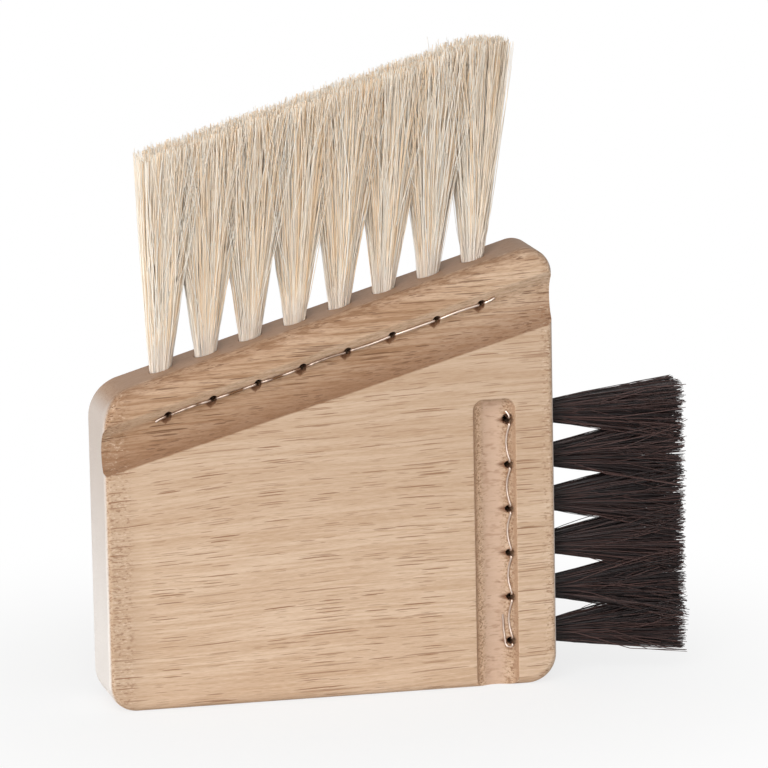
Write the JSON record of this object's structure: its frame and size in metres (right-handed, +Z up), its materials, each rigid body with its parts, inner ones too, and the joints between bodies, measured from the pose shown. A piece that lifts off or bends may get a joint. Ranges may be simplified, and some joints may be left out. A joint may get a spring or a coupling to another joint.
{
  "type": "suede brush",
  "caption": "Small hand-drawn suede brush: a pale wooden block with light hair tufts along its slanted edge and dark hair tufts down its right side.",
  "frame": {"origin": "centre of the block's bottom edge face", "axes": "+X to the right, out of the side that holds the dark tufts; -Y out of the front face with the groove and slot; +Z up, along the light tufts"},
  "size_m": [0.1005, 0.015, 0.1112],
  "materials": {
    "wood": "sanded pale oak or ash with long grain and short dark pores, oiled and matt",
    "light_hair": "undyed cream horsehair with tan strands, soft and slightly glossy",
    "dark_hair": "dark brown horsehair, stiffer, with a dull gloss",
    "draw_wire": "thin soft drawn wire, bright"
  },
  "bodies": {
    "root": {"block": "wood", "top_draw_wire": "draw_wire", "side_draw_wire": "draw_wire", "light_tuft_1": "light_hair", "light_tuft_2": "light_hair", "light_tuft_3": "light_hair", "light_tuft_4": "light_hair", "light_tuft_5": "light_hair", "light_tuft_6": "light_hair", "light_tuft_7": "light_hair", "light_tuft_8": "light_hair", "dark_tuft_1": "dark_hair", "dark_tuft_2": "dark_hair", "dark_tuft_3": "dark_hair", "dark_tuft_4": "dark_hair", "dark_tuft_5": "dark_hair", "dark_tuft_6": "dark_hair"}
  },
  "joints": []
}
